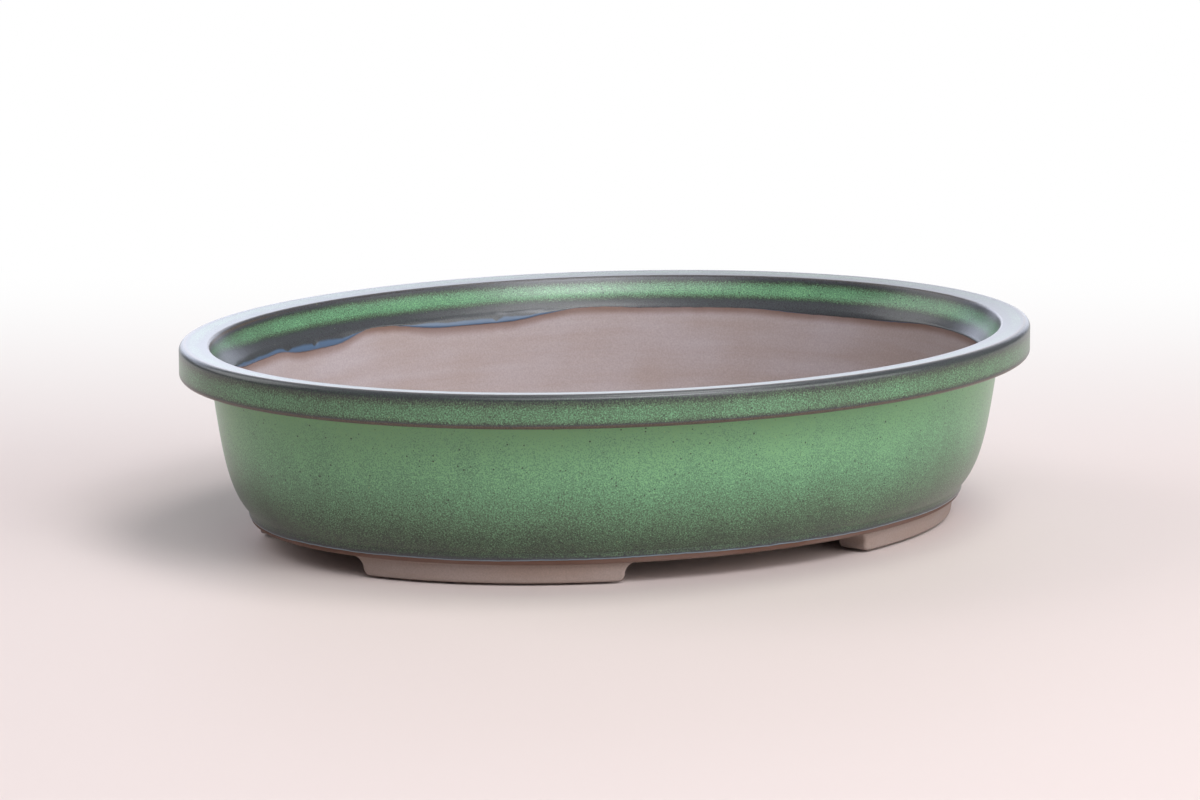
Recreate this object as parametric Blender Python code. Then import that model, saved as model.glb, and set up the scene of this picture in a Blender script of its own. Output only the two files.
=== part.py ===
"""Oval bonsai pot of glazed stoneware, put together from its clay members.

The pot is drawn as level ovals. Each oval lies a given inset inside the
outermost outline of the rim, at a given height above the table, so a profile
is a short list of (inset, height) corners carried round the pot.
Metres, +Z up, origin on the table under the middle of the pot. Leans and ends
are angles in degrees.
"""

import math

import bmesh
import bpy
from mathutils import Matrix, Vector

MM = 0.001

# Overall sizes
POT_LENGTH = 255.0 * MM
POT_WIDTH = 205.0 * MM
POT_HEIGHT = 56.0 * MM

# Rim band
RIM_HEIGHT = 9.4 * MM
RIM_TOP_WIDTH = 8.4 * MM
RIM_TOP_FALL = 0.65 * MM
RIM_OVERHANG = 8.8 * MM
RIM_SHOULDER_RADIUS = 1.8 * MM
RIM_LOWER_RADIUS = 1.3 * MM
RIM_INNER_RADIUS = 0.9 * MM
RIM_INNER_HOLLOW = 0.7 * MM

# Wall
WALL_THICKNESS = 5.0 * MM
BASE_DRAW_IN = 10.1 * MM
WALL_LEAN = 8.5
WAIST_LEAN = 42.0
BELLY_REACH = 9.0 * MM
SHOULDER_REACH = 20.0 * MM
FLOOR_COVE = 6.0 * MM
COVE_FULLNESS = 0.6

# Base slab: a collar round its edge, and a rebate above that for the wall
FOOT_HEIGHT = 5.5 * MM
COLLAR_HEIGHT = 3.3 * MM
COLLAR_TAPER = 1.1 * MM
COLLAR_RADIUS = 1.3 * MM
REBATE_DEPTH = 2.7 * MM

# Holes through the base slab
DRAIN_DIAMETER = 22.0 * MM
DRAIN_SPACING = 84.0 * MM
WIRE_HOLE_DIAMETER = 5.0 * MM
WIRE_HOLE_SPAN_X = 136.0 * MM
WIRE_HOLE_SPAN_Y = 44.0 * MM
HOLE_EDGE_BREAK = 0.7 * MM

# Feet, one in each quarter of the oval
FOOT_SET_IN = 2.7 * MM
FOOT_BATTER = 0.9 * MM
FOOT_THICKNESS = 10.0 * MM
FOOT_OUTER_END = 23.0
FOOT_INNER_END = 68.3
FOOT_COVE_RADIUS = 3.6 * MM
FOOT_CORNER_RADIUS = 1.9 * MM
FOOT_EDGE_RADIUS = 0.6 * MM

# Joint between luted members
JOINT_GAP = 0.3 * MM

# Corners nearer than this are one corner
WELD_DISTANCE = 0.001 * MM

# Edges that turn by more than this stay crisp in the shading
CRISP_ANGLE = 35.0

# Colours in linear values, and how rough each surface is
GLAZE_COLOUR = (0.105, 0.235, 0.115)
CLAY_COLOUR = (0.330, 0.255, 0.220)
RIM_ROUGHNESS = 0.30
WALL_ROUGHNESS = 0.35
CLAY_ROUGHNESS = 0.88

# Steps that curved stretches are drawn with
OVAL_STEPS = 72
BELLY_STEPS = 12
COVE_STEPS = 5
CORNER_STEPS = 3
FOOT_STEPS = 14
DRAIN_STEPS = 36
WIRE_HOLE_STEPS = 16

# Heights and insets that follow from the sizes above
RIM_UNDERSIDE = POT_HEIGHT - RIM_HEIGHT
SEAT_LEVEL = FOOT_HEIGHT + COLLAR_HEIGHT
FLOOR_LEVEL = SEAT_LEVEL + REBATE_DEPTH
WAIST_INSET = RIM_OVERHANG + BASE_DRAW_IN
INNER_TOP_INSET = RIM_OVERHANG + WALL_THICKNESS
FOOT_TOP = FOOT_HEIGHT - JOINT_GAP


def clear_scene():
    """Take away whatever the new file starts with."""
    for item in list(bpy.data.objects):
        bpy.data.objects.remove(item, do_unlink=True)


def fillet(before, corner, after, radius, steps=CORNER_STEPS):
    """Points of an arc that rounds a corner, no longer than the sides beside it."""
    to_before = (before - corner).normalized()
    to_after = (after - corner).normalized()
    half_angle = to_before.angle(to_after) / 2.0
    room = min((before - corner).length, (after - corner).length)
    radius = min(radius, room * math.tan(half_angle))
    reach = radius / math.tan(half_angle)
    centre = corner + (to_before + to_after).normalized() * radius / math.sin(half_angle)
    start = corner + to_before * reach - centre
    sweep = start.angle_signed(corner + to_after * reach - centre)
    points = []
    for step in range(steps + 1):
        turned = start.copy()
        turned.rotate(Matrix.Rotation(-sweep * step / steps, 2))
        points.append(centre + turned)
    return points


def bezier(start, start_handle, end_handle, end, steps):
    """Points along a cubic curve between two corners, both included."""
    points = []
    for step in range(steps + 1):
        t = step / steps
        s = 1.0 - t
        point = start * s ** 3 + start_handle * 3 * s * s * t
        point += end_handle * 3 * s * t * t + end * t ** 3
        points.append(point)
    return points


def half_axes(inset):
    """Half the length and half the width of an oval drawn in by the inset."""
    return Vector((POT_LENGTH / 2.0 - inset, POT_WIDTH / 2.0 - inset, 1.0))


def loop_edges(verts):
    """The edges of the closed loop that the vertices make."""
    return list({edge for vert in verts for edge in vert.link_edges})


def carry_profile(mesh, profile):
    """Draw an oval at the profile's first corner and extrude it on to each next one."""
    place = Matrix.LocRotScale(Vector((0.0, 0.0, profile[0].y)), None, half_axes(profile[0].x))
    made = bmesh.ops.create_circle(mesh, segments=OVAL_STEPS, radius=1.0, matrix=place)
    edges = loop_edges(made["verts"])
    for near, far in zip(profile, profile[1:]):
        new = bmesh.ops.extrude_edge_only(mesh, edges=edges)["geom"]
        verts = [item for item in new if isinstance(item, bmesh.types.BMVert)]
        edges = [item for item in new if isinstance(item, bmesh.types.BMEdge)]
        before = half_axes(near.x)
        after = half_axes(far.x)
        growth = Vector((after.x / before.x, after.y / before.y, 1.0))
        bmesh.ops.scale(mesh, vec=growth, verts=verts)
        bmesh.ops.translate(mesh, vec=(0.0, 0.0, far.y - near.y), verts=verts)


def carry_closed_profile(mesh, profile):
    """Carry a profile round the pot and join its last corner to its first."""
    carry_profile(mesh, profile + profile[:1])
    bmesh.ops.remove_doubles(mesh, verts=mesh.verts, dist=WELD_DISTANCE)


def cap_open_ends(mesh):
    """Fill each open loop with one flat face."""
    bmesh.ops.holes_fill(mesh, edges=[edge for edge in mesh.edges if edge.is_boundary])


def bridge_in_order(mesh, loops):
    """Skin each loop of edges to the next, and cap both ends."""
    for near, far in zip(loops, loops[1:]):
        bmesh.ops.bridge_loops(mesh, edges=near + far)
    cap_open_ends(mesh)


def finish_object(name, mesh, material):
    """Turn the mesh into a named object with its own material."""
    bmesh.ops.recalc_face_normals(mesh, faces=mesh.faces)
    data = bpy.data.meshes.new(name)
    mesh.to_mesh(data)
    mesh.free()
    data.shade_smooth()
    data.set_sharp_from_angle(angle=math.radians(CRISP_ANGLE))
    item = bpy.data.objects.new(name, data)
    bpy.context.collection.objects.link(item)
    data.materials.append(material)
    return item


def plain_material(name, colour, roughness):
    """A Principled material with one colour, given in linear values."""
    material = bpy.data.materials.new(name)
    material.use_nodes = True
    shader = material.node_tree.nodes["Principled BSDF"]
    shader.inputs["Base Color"].default_value = (*colour, 1.0)
    shader.inputs["Roughness"].default_value = roughness
    shader.inputs["Metallic"].default_value = 0.0
    return material


def glaze(name, roughness):
    """Satin mid-green glaze."""
    return plain_material(name, GLAZE_COLOUR, roughness)


def bare_clay(name):
    """Matt grey-brown fired clay."""
    return plain_material(name, CLAY_COLOUR, CLAY_ROUGHNESS)


def wall_outside():
    """The outer face from the waist up to the rim: a belly, then a straight lean."""
    foot = Vector((WAIST_INSET, SEAT_LEVEL + JOINT_GAP))
    top = Vector((RIM_OVERHANG, RIM_UNDERSIDE - JOINT_GAP))
    waist_angle = math.radians(WAIST_LEAN)
    wall_angle = math.radians(WALL_LEAN)
    belly = foot + BELLY_REACH * Vector((-math.sin(waist_angle), math.cos(waist_angle)))
    shoulder = top + SHOULDER_REACH * Vector((math.sin(wall_angle), -math.cos(wall_angle)))
    return bezier(foot, belly, shoulder, top, BELLY_STEPS)


def wall_inside(outside):
    """The inner face, level with the outer one, then a cove out onto the floor."""
    cove_top = FLOOR_LEVEL + FLOOR_COVE
    face = [Vector((p.x + WALL_THICKNESS, p.y)) for p in reversed(outside) if p.y > cove_top]
    fall = face[-1].y - FLOOR_LEVEL
    lean = (face[-1].x - face[-2].x) / (face[-2].y - face[-1].y)
    heel = Vector((face[-1].x + lean * fall, FLOOR_LEVEL))
    toe = Vector((heel.x + FLOOR_COVE, FLOOR_LEVEL))
    from_face = face[-1].lerp(heel, COVE_FULLNESS)
    from_toe = toe.lerp(heel, COVE_FULLNESS)
    return face + bezier(face[-1], from_face, from_toe, toe, COVE_STEPS)[1:]


def toe_inset():
    """How far in the wall's foot reaches over the base slab."""
    return wall_inside(wall_outside())[-1].x


def build_wall():
    """The oval wall, which stands in the rebate round the base slab."""
    outside = wall_outside()
    inside = wall_inside(outside)
    underside = Vector((inside[-1].x, SEAT_LEVEL + JOINT_GAP))
    mesh = bmesh.new()
    carry_closed_profile(mesh, outside + inside + [underside])
    return finish_object("wall", mesh, glaze("wall_glaze", WALL_ROUGHNESS))


def rim_profile():
    """The band's section: outer face, top that falls inwards, inner face, underside."""
    lower_edge = Vector((0.0, RIM_UNDERSIDE))
    shoulder = Vector((0.0, POT_HEIGHT))
    crest = Vector((RIM_SHOULDER_RADIUS, POT_HEIGHT))
    lip = Vector((RIM_TOP_WIDTH, POT_HEIGHT - RIM_TOP_FALL))
    inner_foot = Vector((INNER_TOP_INSET, RIM_UNDERSIDE))
    slope = (inner_foot - lip).normalized()
    hollow = (lip + inner_foot) / 2.0 - RIM_INNER_HOLLOW * Vector((-slope.y, slope.x))
    profile = fillet(inner_foot, lower_edge, shoulder, RIM_LOWER_RADIUS)
    profile += fillet(lower_edge, shoulder, crest, RIM_SHOULDER_RADIUS, CORNER_STEPS + 1)
    profile += fillet(crest, lip, hollow, RIM_INNER_RADIUS)
    profile += bezier(profile[-1], hollow, hollow, inner_foot, COVE_STEPS)[1:]
    profile.append(Vector((RIM_OVERHANG, RIM_UNDERSIDE)))
    return profile


def build_rim():
    """The thick everted band that caps the wall and overhangs it."""
    mesh = bmesh.new()
    carry_closed_profile(mesh, rim_profile())
    return finish_object("rim", mesh, glaze("rim_glaze", RIM_ROUGHNESS))


def slab_profile():
    """The base slab's edge from underside to floor: collar, rebate, raised floor."""
    collar_top = Vector((WAIST_INSET, SEAT_LEVEL))
    collar_foot = Vector((WAIST_INSET + COLLAR_TAPER, FOOT_HEIGHT))
    middle = Vector((POT_WIDTH / 2.0, FOOT_HEIGHT))
    floor_edge = toe_inset() + JOINT_GAP
    profile = fillet(middle, collar_foot, collar_top, COLLAR_RADIUS)
    profile.append(collar_top)
    profile.append(Vector((floor_edge, SEAT_LEVEL)))
    profile.append(Vector((floor_edge, FLOOR_LEVEL)))
    return profile


def hole_cutter(name, diameter, steps, x, y):
    """A drill for one hole, flared at both faces so that the hole's edges are broken.

    Each flare runs as far past its face as into the slab, so its mouth is wider
    by twice the break.
    """
    radius = diameter / 2.0
    mouth = radius + 2.0 * HOLE_EDGE_BREAK
    levels = [(mouth, FOOT_HEIGHT - HOLE_EDGE_BREAK)]
    levels.append((radius, FOOT_HEIGHT + HOLE_EDGE_BREAK))
    levels.append((radius, FLOOR_LEVEL - HOLE_EDGE_BREAK))
    levels.append((mouth, FLOOR_LEVEL + HOLE_EDGE_BREAK))
    mesh = bmesh.new()
    loops = []
    for ring_radius, height in levels:
        place = Matrix.Translation((x, y, height))
        made = bmesh.ops.create_circle(mesh, segments=steps, radius=ring_radius, matrix=place)
        loops.append(loop_edges(made["verts"]))
    bridge_in_order(mesh, loops)
    cutter = finish_object(name, mesh, bare_clay(name + "_clay"))
    cutter.hide_render = True
    cutter.display_type = "WIRE"
    return cutter


def hole_cutters():
    """Two drain holes on the long axis and four holes for tie wires round them."""
    cutters = []
    for side, x in (("left", -DRAIN_SPACING / 2.0), ("right", DRAIN_SPACING / 2.0)):
        cutters.append(hole_cutter("drain_drill_" + side, DRAIN_DIAMETER, DRAIN_STEPS, x, 0.0))
    for x in (-WIRE_HOLE_SPAN_X / 2.0, WIRE_HOLE_SPAN_X / 2.0):
        for y in (-WIRE_HOLE_SPAN_Y / 2.0, WIRE_HOLE_SPAN_Y / 2.0):
            name = "wire_drill_" + str(len(cutters))
            cutters.append(hole_cutter(name, WIRE_HOLE_DIAMETER, WIRE_HOLE_STEPS, x, y))
    return cutters


def build_base_slab():
    """The base: collar round its edge, a rebate for the wall, floor and holes."""
    mesh = bmesh.new()
    carry_profile(mesh, slab_profile())
    cap_open_ends(mesh)
    slab = finish_object("base_slab", mesh, bare_clay("base_slab_clay"))
    for cutter in hole_cutters():
        drill = slab.modifiers.new(cutter.name, "BOOLEAN")
        drill.operation = "DIFFERENCE"
        drill.solver = "EXACT"
        drill.object = cutter
    return slab


def round_off(height, radius):
    """How far a lower corner of this radius is drawn back at a height."""
    drop = max(radius - height, 0.0)
    return radius - math.sqrt(radius ** 2 - drop ** 2)


def foot_cove_start():
    """The height at which a foot's coved ends begin, above their lower corners."""
    return max(FOOT_HEIGHT - FOOT_COVE_RADIUS, FOOT_CORNER_RADIUS)


def foot_end_shift(height):
    """How far a foot's end stands out at a height: cove above, round corner below."""
    cove = FOOT_HEIGHT - foot_cove_start()
    rise = max(height - foot_cove_start(), 0.0)
    return cove - math.sqrt(cove ** 2 - rise ** 2) - round_off(height, FOOT_CORNER_RADIUS)


def foot_levels():
    """Heights at which a foot's outline is drawn, from the table up."""
    levels = []
    for step in range(CORNER_STEPS):
        turn = math.pi / 2.0 * step / CORNER_STEPS
        levels.append(FOOT_CORNER_RADIUS * (1.0 - math.cos(turn)))
    for step in range(COVE_STEPS + 1):
        levels.append(foot_cove_start() + (FOOT_TOP - foot_cove_start()) * step / COVE_STEPS)
    return levels


def foot_inset(height, inner):
    """The foot's outer or inner face at a height, with its lower edge rounded."""
    face = WAIST_INSET + FOOT_SET_IN
    if inner:
        return face + FOOT_THICKNESS - round_off(height, FOOT_EDGE_RADIUS)
    batter = FOOT_BATTER * (1.0 - height / FOOT_HEIGHT)
    return face + batter + round_off(height, FOOT_EDGE_RADIUS)


def oval_point(inset, angle, height):
    """A point on a level oval, at the angle of the oval's parameter."""
    axes = half_axes(inset)
    return Vector((axes.x * math.cos(angle), axes.y * math.sin(angle), height))


def angle_shift(inset, angle, distance):
    """The change of the parameter's angle that moves a point this far along the oval."""
    axes = half_axes(inset)
    return distance / math.hypot(axes.x * math.sin(angle), axes.y * math.cos(angle))


def foot_outline(height, turn_x, turn_y):
    """The closed outline of one foot at a height, in the quarter that the turns choose.

    Each turn is plus or minus one, and mirrors the outline across one axis.
    """
    shift = foot_end_shift(height)
    points = []
    for inner in (False, True):
        inset = foot_inset(height, inner)
        first = math.radians(FOOT_OUTER_END)
        last = math.radians(FOOT_INNER_END)
        first -= angle_shift(inset, first, shift)
        last += angle_shift(inset, last, shift)
        row = []
        for step in range(FOOT_STEPS + 1):
            point = oval_point(inset, first + (last - first) * step / FOOT_STEPS, height)
            row.append(Vector((point.x * turn_x, point.y * turn_y, point.z)))
        points += reversed(row) if inner else row
    return points


def build_foot(name, turn_x, turn_y):
    """A low foot that follows the oval, with coved ends and a rounded tread."""
    mesh = bmesh.new()
    loops = []
    for height in foot_levels():
        verts = [mesh.verts.new(point) for point in foot_outline(height, turn_x, turn_y)]
        loops.append([mesh.edges.new((a, b)) for a, b in zip(verts, verts[1:] + verts[:1])])
    bridge_in_order(mesh, loops)
    return finish_object(name, mesh, bare_clay(name + "_clay"))


def main():
    """Build every member of the pot."""
    clear_scene()
    build_rim()
    build_wall()
    build_base_slab()
    for end, turn_x in (("left", -1.0), ("right", 1.0)):
        for side, turn_y in (("front", -1.0), ("back", 1.0)):
            build_foot("foot_" + side + "_" + end, turn_x, turn_y)


main()
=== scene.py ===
# %% [markdown]
# # A shallow oval bonsai pot
# The pot is fired stoneware. A satin green glaze covers the outside and the top of the
# inside, and stops at a wavy line. Below that line and on the feet the clay is bare.
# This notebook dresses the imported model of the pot: it works out smooth skins for the
# rim, the wall, the base and the four feet, and paints them with layered materials.

# %% Load the frame
import math

import bmesh
import bpy
import numpy as np
from mathutils import Euler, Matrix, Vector


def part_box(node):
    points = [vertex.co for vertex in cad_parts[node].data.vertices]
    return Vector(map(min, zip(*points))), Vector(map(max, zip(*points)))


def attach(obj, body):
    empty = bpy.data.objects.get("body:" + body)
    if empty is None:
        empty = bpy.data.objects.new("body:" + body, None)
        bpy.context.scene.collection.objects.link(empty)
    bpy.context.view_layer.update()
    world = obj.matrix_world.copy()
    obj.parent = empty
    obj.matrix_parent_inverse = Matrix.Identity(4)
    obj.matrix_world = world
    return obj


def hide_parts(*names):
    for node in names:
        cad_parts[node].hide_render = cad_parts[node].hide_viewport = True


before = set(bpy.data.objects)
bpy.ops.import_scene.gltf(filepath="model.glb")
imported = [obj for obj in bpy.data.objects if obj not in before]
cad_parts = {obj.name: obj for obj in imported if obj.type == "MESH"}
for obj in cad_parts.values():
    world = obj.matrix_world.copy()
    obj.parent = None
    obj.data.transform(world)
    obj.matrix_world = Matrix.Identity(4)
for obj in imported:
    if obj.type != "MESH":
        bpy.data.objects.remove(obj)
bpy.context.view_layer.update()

# %% [markdown]
# ## Sizes
# Lengths are in metres, so each real size is written in millimetres times MM. The
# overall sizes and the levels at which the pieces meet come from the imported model. The
# smaller ones, such as how round an edge is, are the potter's and are written here.

# %% Sizes from the frame
MM = 0.001
HALF_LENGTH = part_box("rim")[1].x
HALF_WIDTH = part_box("rim")[1].y
POT_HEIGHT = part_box("rim")[1].z
RIM_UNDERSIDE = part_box("rim")[0].z
WALL_TOP_INSET = HALF_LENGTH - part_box("wall")[1].x
WAIST_INSET = HALF_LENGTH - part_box("base_slab")[1].x
WALL_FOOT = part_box("wall")[0].z
FLOOR_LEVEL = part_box("base_slab")[1].z
SLAB_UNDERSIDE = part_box("base_slab")[0].z
print("rim underside", RIM_UNDERSIDE, "wall foot", WALL_FOOT, "floor", FLOOR_LEVEL)

# %% [markdown]
# ## The camera
# A long lens looks down on the pot by ten degrees, from the left of its front. The
# place, heading and pitch were fitted to the outlines of the real pot.

# %% Camera
CAMERA_PLACE = Vector((-733.87, -1252.73, 298.71)) * MM
CAMERA_HEADING = math.radians(30.2465)
CAMERA_PITCH = math.radians(10.2961)
LENS = 154.23
SENSOR = 36.0

camera_data = bpy.data.cameras.new("camera")
camera_data.lens = LENS
camera_data.sensor_width = SENSOR
camera_data.clip_start = 0.05
camera = bpy.data.objects.new("camera", camera_data)
camera.location = CAMERA_PLACE
camera.rotation_euler = Euler((math.pi / 2 - CAMERA_PITCH, 0.0, -CAMERA_HEADING))
bpy.context.scene.collection.objects.link(camera)
bpy.context.scene.camera = camera
print("camera", tuple(camera.location), "lens", LENS)

# %% [markdown]
# ## Curves of the section
# A potter cuts the profile of such a pot as a template, a few straight runs joined by
# curves. A pair of numbers is one point of it: the inset from the outermost outline,
# and the height above the table. Three helpers make every profile below: a curve with
# two handles, an arc that rounds a corner, and a function that spaces the points of a
# run evenly. A curve object drawn by hand would look the same, but points that are worked
# out can be measured, and two pieces can share them.

# %% Curve helpers
def at(inset, height):
    """One point of the section, as an inset and a height."""
    return np.array([inset, height])


def bezier(start, start_handle, end_handle, end, steps=60):
    """A cubic curve with two handles.

    With s for one less t, it is the start times s cubed, three times its handle times
    s s t, three times the end's handle times s t t, and the end times t cubed.
    """
    t = np.linspace(0.0, 1.0, steps + 1)[:, None]
    s = 1.0 - t
    return start * s ** 3 + 3 * start_handle * s * s * t + 3 * end_handle * s * t * t + end * t ** 3


def rounded(before, corner, after, radius, steps=16):
    """An arc between the two sides of a corner, tangent to both.

    Its centre lies on the line that halves the corner, and the arc turns from one
    side's foot of the perpendicular to the other's.
    """
    one = (before - corner) / np.linalg.norm(before - corner)
    two = (after - corner) / np.linalg.norm(after - corner)
    half = math.acos(np.clip(one @ two, -1.0, 1.0)) / 2
    centre = corner + (one + two) / np.linalg.norm(one + two) * radius / math.sin(half)
    start = corner + one * radius / math.tan(half) - centre
    end = corner + two * radius / math.tan(half) - centre
    sweep = math.pi - 2 * half
    t = np.linspace(0.0, 1.0, steps + 1)[:, None]
    return centre + (start * np.sin((1 - t) * sweep) + end * np.sin(t * sweep)) / math.sin(sweep)


def distances(points):
    """How far each point lies along its run: the steps before it, added up."""
    return np.concatenate([[0.0], np.cumsum(np.hypot(*np.diff(points, axis=0).T))])


def spaced(points, spacing):
    """The same run with its points about this far apart, measured along it."""
    along = distances(points)
    keep = np.concatenate([[True], np.diff(along) > 1e-9])
    wanted = np.linspace(0.0, along[-1], max(2, int(round(along[-1] / spacing)) + 1))
    return np.stack([np.interp(wanted, along[keep], points[keep, axis]) for axis in (0, 1)], axis=1)


def between(points, top, bottom):
    """The part of a falling run from one height down to another."""
    inset = np.interp([top, bottom], points[::-1, 1], points[::-1, 0])
    inside = points[(points[:, 1] < top) & (points[:, 1] > bottom)]
    return np.vstack([at(inset[0], top), inside, at(inset[1], bottom)])


# %% [markdown]
# ## The template
# The outside falls from the rim in a straight lean, swells into a low belly and is
# drawn in to a waist, and a short collar stands under that. The inside is the same
# face one wall thickness further in. At the top it opens out to the lip, and at the
# bottom it runs out onto the floor in a cove. The whole outside is one curve here and
# so is the whole inside, so two pieces that meet on it have no crease between them.
# A corner is rounded between two sides. Where a side is a curve, its direction is taken
# to a point a few steps away, where the curve is still all but straight, and the cove
# starts with the lean that the inner face has between two of its points.

# %% Outside and inside curves
WALL_THICKNESS = 5.0 * MM
WALL_LEAN = math.radians(8.5)
WAIST_LEAN = math.radians(42.0)
BELLY_REACH = 9.0 * MM
SHOULDER_REACH = 20.0 * MM
WAIST_ROUND = 3.5 * MM
UNDER_RIM_ROUND = 1.2 * MM
COLLAR_TAPER = 1.1 * MM
COLLAR_ROUND = 1.3 * MM
FEW_STEPS = 4

wall_foot = at(WAIST_INSET, WALL_FOOT)
wall_top = at(WALL_TOP_INSET, RIM_UNDERSIDE)
belly_handle = wall_foot + BELLY_REACH * at(-math.sin(WAIST_LEAN), math.cos(WAIST_LEAN))
shoulder_handle = wall_top + SHOULDER_REACH * at(math.sin(WALL_LEAN), -math.cos(WALL_LEAN))
wall_face = bezier(wall_top, shoulder_handle, belly_handle, wall_foot)
collar_foot = at(WAIST_INSET + COLLAR_TAPER, SLAB_UNDERSIDE)

under_rim = rounded(at(0.0, RIM_UNDERSIDE), wall_top, wall_face[FEW_STEPS], UNDER_RIM_ROUND)
waist = rounded(wall_face[-FEW_STEPS], wall_foot, collar_foot, WAIST_ROUND)
collar_edge = rounded(wall_foot, collar_foot, at(HALF_WIDTH, SLAB_UNDERSIDE), COLLAR_ROUND)
upright = wall_face[(wall_face[:, 1] < under_rim[-1, 1]) & (wall_face[:, 1] > waist[0, 1])]
outside = np.vstack([under_rim, upright, waist, collar_edge])
print("outside", len(outside), "points, from", outside[0], "to", outside[-1])

# %% Lip and cove of the inside
RIM_TOP_WIDTH = 8.4 * MM
RIM_TOP_FALL = 0.65 * MM
RIM_SHOULDER_ROUND = 1.8 * MM
RIM_LOWER_ROUND = 1.3 * MM
LIP_ROUND = 0.9 * MM
LIP_HOLLOW = 0.7 * MM
THROAT_ROUND = 3.0 * MM
THROAT_STEPS = 9
FLOOR_COVE = 6.0 * MM
COVE_FULLNESS = 0.6
COVE_STEPS = (38, 40)

shoulder = at(0.0, POT_HEIGHT)
crest = at(RIM_SHOULDER_ROUND, POT_HEIGHT)
lip = at(RIM_TOP_WIDTH, POT_HEIGHT - RIM_TOP_FALL)
throat = at(WALL_TOP_INSET + WALL_THICKNESS, RIM_UNDERSIDE)
slope = (throat - lip) / np.linalg.norm(throat - lip)
hollow = (lip + throat) / 2 - LIP_HOLLOW * np.array([-slope[1], slope[0]])
lip_edge = rounded(crest, lip, hollow, LIP_ROUND)
lip_face = bezier(lip_edge[-1], hollow, hollow, throat)
inner_face = wall_face + at(WALL_THICKNESS, 0.0)
cove_top = inner_face[inner_face[:, 1] > FLOOR_LEVEL + FLOOR_COVE][-1]
higher, lower = (inner_face[step] for step in COVE_STEPS)
lean = (lower - higher) / abs(lower[1] - higher[1])
heel = cove_top + (cove_top[1] - FLOOR_LEVEL) * lean
toe = at(heel[0] + FLOOR_COVE, FLOOR_LEVEL)
cove_handles = cove_top + COVE_FULLNESS * (heel - cove_top), toe + COVE_FULLNESS * (heel - toe)
cove = bezier(cove_top, *cove_handles, toe)
throat_edge = rounded(lip_face[-THROAT_STEPS], throat, inner_face[THROAT_STEPS], THROAT_ROUND)
above = lip_face[lip_face[:, 1] > throat_edge[0, 1]]
below = inner_face[(inner_face[:, 1] < throat_edge[-1, 1]) & (inner_face[:, 1] > cove_top[1])]
inside = np.vstack([above, throat_edge, below, cove])
print("inside", len(inside), "points, the floor's flat starts at an inset of", toe[0])

# %% [markdown]
# ## Where the glaze stops and where it is thin
# Glaze is dipped or poured, and it runs a little as it melts. It pools as a thick roll
# along its lower edge, sags in a few places, and draws back from sharp corners. Two
# measures carry that: the level of its edge at each angle round the pot, and how thick
# the coat is, from 0 for none to 1 for full. A painted picture could carry them too, but
# a measure at each point is sharp from any distance, and lifts the glaze off the clay
# as well. Each sag inside has an angle, a half width towards greater and towards smaller
# angles, and a depth in millimetres. The sags in front can't be seen from the camera,
# and are of the same kind.

# %% Glaze edge inside
INNER_EDGE = 46.3 * MM
INNER_SAGS = (
    (137.5, 9.2, 11.4, 1.95),
    (118.5, 8.3, 8.6, 3.2),
    (87.5, 12.4, 11.1, 2.55),
    (68.5, 4.0, 6.0, -0.5),
    (24.5, 13.9, 15.5, 1.1),
    (-36.0, 9.0, 11.0, 0.9),
    (-66.0, 12.0, 9.0, 1.7),
    (-97.0, 8.0, 10.0, 0.8),
    (-128.0, 10.0, 8.0, 1.5),
    (-163.0, 8.0, 10.0, 0.7),
)


def sag(angle):
    """How far the glaze hangs below its usual level inside, in metres.

    Each sag is one over e to the fourth power of the angle from its middle, over its
    half width on that side, so it has a flat foot and steep sides. They are added up.
    """
    total = np.zeros_like(angle)
    for middle, half_above, half_below, depth in INNER_SAGS:
        away = (np.degrees(angle) - middle + 180.0) % 360.0 - 180.0
        share = away / np.where(away > 0, half_above, half_below)
        total = total + depth * MM * np.exp(-share ** 4)
    return total


deepest = max(INNER_SAGS, key=lambda row: row[-1])
print(len(INNER_SAGS), "sags inside, the deepest", deepest[-1], "mm")

# %% [markdown]
# Where the glaze has sagged it carries a thick milky roll. The roll's width follows the
# depth of the sag, with a few waves. It is pinched at a few angles, and in two places it
# is missing: each has an angle, a half width and the share that it takes. A wave is its
# height, its count round the pot and its start.

# %% Roll of the glaze
ROLL_SHARE = 0.60
ROLL_LEAST = 0.06 * MM
ROLL_WAVES = ((0.10, 31, 0.0), (0.08, 53, 1.0))
ROLL_NOTCHES = (
    (126.7, 0.8, 0.75),
    (119.5, 0.5, 0.50),
    (105.0, 5.0, 1.00),
    (84.0, 0.5, 0.75),
    (24.5, 17.0, 1.00),
)
ROLL_RISE = 0.35 * MM
ROLL_SPREAD = 0.6 * MM
COAT_STEP = 0.10 * MM
ROLL_FULLNESS = 0.15


def waves(angle, kinds):
    """Each wave's height times the sine of its count times the angle plus its start, added up."""
    return sum(height * np.sin(count * angle + start) for height, count, start in kinds)


def roll_width_inside(angle):
    """Width of the milky roll: a share of the sag's depth, with waves and narrow notches."""
    hanging = np.clip(sag(angle), 0.0, None)
    width = ROLL_LEAST + ROLL_SHARE * hanging * (1.0 + waves(angle, ROLL_WAVES))
    for middle, half_width, share in ROLL_NOTCHES:
        away = (np.degrees(angle) - middle) / half_width
        width = width * (1.0 - share * np.exp(-away ** 2))
    return width


def relief(above_edge, roll_width):
    """How far the glaze stands out at a distance above its edge.

    A quarter circle rises over the first third of a millimetre, and a bell fades it
    out above the roll. The wider the roll, the higher it stands.
    """
    step = np.clip(above_edge / ROLL_RISE, 0.0, 1.0)
    spread = np.maximum(roll_width, ROLL_SPREAD)
    swell = np.exp(-(np.clip(above_edge - 0.5 * spread, 0.0, None) / spread) ** 2)
    height = COAT_STEP + ROLL_FULLNESS * roll_width
    return height * np.sqrt(1.0 - (1.0 - step) ** 2) * swell


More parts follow.
